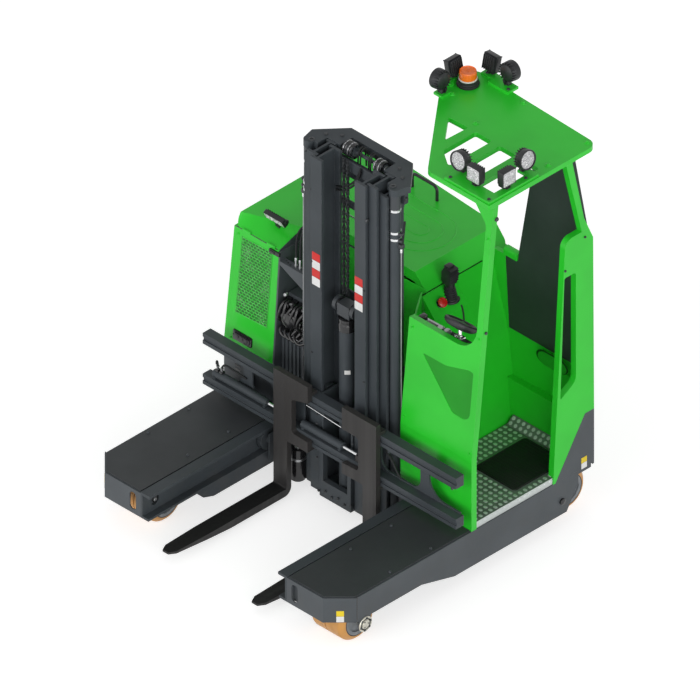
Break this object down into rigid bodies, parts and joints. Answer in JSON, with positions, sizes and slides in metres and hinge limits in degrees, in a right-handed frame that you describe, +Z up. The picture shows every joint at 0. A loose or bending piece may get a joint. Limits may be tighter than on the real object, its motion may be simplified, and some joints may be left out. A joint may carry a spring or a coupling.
{
  "type": "stand-on multi-directional reach stacker",
  "caption": "Stand-on reach stacker with straddle arms, reaching triplex mast, full-width carriage with spreading forks, power pack and open operator cab.",
  "frame": {"origin": "on the floor at the middle of the outline, between the arms", "axes": "+Z up, forks point to -Y, operator's cab on the +X side"},
  "size_m": [1.99, 2.1969, 2.654],
  "materials": {
    "charcoal_paint": "satin charcoal grey paint",
    "green_paint": "gloss bright green paint",
    "dark_panel": "matt near-black paint",
    "fork_black": "matt black paint over forged steel",
    "chrome_rod": "polished chrome",
    "zinc_cap": "yellow passivated zinc",
    "polyurethane": "satin orange polyurethane",
    "treadplate": "raised tread pattern",
    "rubber_mat": "matt",
    "cast_block": "rough",
    "black_plastic": "fine grained",
    "amber_lens": "translucent amber",
    "red_plastic": "gloss"
  },
  "bodies": {
    "chassis": {"right_arm": "charcoal_paint", "left_arm": "charcoal_paint", "reach_rails": "charcoal_paint", "arm_decks": "charcoal_paint", "front_axles": "zinc_cap", "chassis_frame": "charcoal_paint", "rear_frame": "charcoal_paint", "counterweight": "charcoal_paint", "power_base": "charcoal_paint", "mast_well": "charcoal_paint", "power_unit": "cast_block", "hydraulic_tank": "charcoal_paint", "side_cover": "green_paint", "grille_panel": "green_paint", "rear_cover": "green_paint", "cab_inner_wall": "green_paint", "cab_floor": "treadplate", "floor_mat": "rubber_mat", "cab_front_panel": "green_paint", "cab_side_panel": "green_paint", "rear_pillar": "green_paint", "cab_rear_wall": "green_paint", "cab_rear_guard": "dark_panel", "cab_roof": "green_paint", "work_lamps": "black_plastic", "beacon": "amber_lens", "dashboard": "charcoal_paint", "control_console": "green_paint", "hand_controls": "black_plastic", "stop_button": "red_plastic"},
    "lid": {"engine_lid": "green_paint", "lid_handle": "black_plastic", "lid_lamp": "black_plastic"},
    "reach": {"reach_carrier": "charcoal_paint", "outer_mast": "charcoal_paint", "lift_barrels": "charcoal_paint"},
    "middle_stage": {"middle_mast": "charcoal_paint", "mast_crown": "charcoal_paint", "lift_rods": "chrome_rod"},
    "inner_stage": {"inner_mast": "charcoal_paint", "free_lift_barrel": "charcoal_paint"},
    "free_rod": {"free_lift_rod": "chrome_rod"},
    "carriage": {"carriage_bars": "charcoal_paint", "carriage_frame": "charcoal_paint", "spread_cylinders": "charcoal_paint"},
    "fork_right": {"right_fork": "fork_black", "right_spread_rod": "chrome_rod"},
    "fork_left": {"left_fork": "fork_black", "left_spread_rod": "chrome_rod"},
    "wheel_front_right": {"right_front_wheel": "polyurethane"},
    "wheel_front_left": {"left_front_wheel": "polyurethane"},
    "steer_right": {"right_rear_yoke": "charcoal_paint"},
    "steer_left": {"left_rear_yoke": "charcoal_paint"},
    "wheel_rear_right": {"right_rear_wheel": "polyurethane"},
    "wheel_rear_left": {"left_rear_wheel": "polyurethane"}
  },
  "joints": [
    {"name": "reach_slide", "type": "slide", "parent": "chassis", "child": "reach", "axis": [0, -1, 0], "range_m": [0, 0.8]},
    {"name": "mast_lift", "type": "slide", "parent": "reach", "child": "middle_stage", "axis": [0, 0, 1], "range_m": [0, 1.55]},
    {"name": "inner_lift", "type": "slide", "parent": "middle_stage", "child": "inner_stage", "axis": [0, 0, 1], "range_m": [0, 1.55]},
    {"name": "carriage_lift", "type": "slide", "parent": "inner_stage", "child": "carriage", "axis": [0, 0, 1], "range_m": [0, 1.45]},
    {"name": "free_rod_lift", "type": "slide", "parent": "inner_stage", "child": "free_rod", "axis": [0, 0, 1], "range_m": [0, 0.725]},
    {"name": "fork_spread", "type": "slide", "parent": "carriage", "child": "fork_right", "axis": [1, 0, 0], "range_m": [-0.12, 0.09]},
    {"name": "fork_spread_left", "type": "slide", "parent": "carriage", "child": "fork_left", "axis": [-1, 0, 0], "range_m": [-0.12, 0.09]},
    {"name": "lid_hinge", "type": "hinge", "parent": "chassis", "child": "lid", "pos_m": [-0.77, 0.068, 1.4213], "axis": [1, 0, 0], "range_deg": [0, 50]},
    {"name": "steer_right", "type": "hinge", "parent": "chassis", "child": "steer_right", "pos_m": [0.75, 0.86, 0.3], "axis": [0, 0, 1], "range_deg": [-90, 90]},
    {"name": "steer_left", "type": "hinge", "parent": "chassis", "child": "steer_left", "pos_m": [-0.75, 0.86, 0.3], "axis": [0, 0, 1], "range_deg": [-90, 90]},
    {"name": "front_right_spin", "type": "hinge", "parent": "chassis", "child": "wheel_front_right", "pos_m": [0.808, -0.854, 0.135], "axis": [1, 0, 0], "continuous": true},
    {"name": "front_left_spin", "type": "hinge", "parent": "chassis", "child": "wheel_front_left", "pos_m": [-0.75, -0.8, 0.135], "axis": [1, 0, 0], "continuous": true},
    {"name": "rear_right_spin", "type": "hinge", "parent": "steer_right", "child": "wheel_rear_right", "pos_m": [0.75, 0.86, 0.135], "axis": [1, 0, 0], "continuous": true},
    {"name": "rear_left_spin", "type": "hinge", "parent": "steer_left", "child": "wheel_rear_left", "pos_m": [-0.75, 0.86, 0.135], "axis": [1, 0, 0], "continuous": true}
  ],
  "couplings": [
    {"joint": "inner_lift", "follows": "mast_lift", "ratio": 1},
    {"joint": "free_rod_lift", "follows": "carriage_lift", "ratio": 0.5},
    {"joint": "fork_spread_left", "follows": "fork_spread", "ratio": 1}
  ]
}
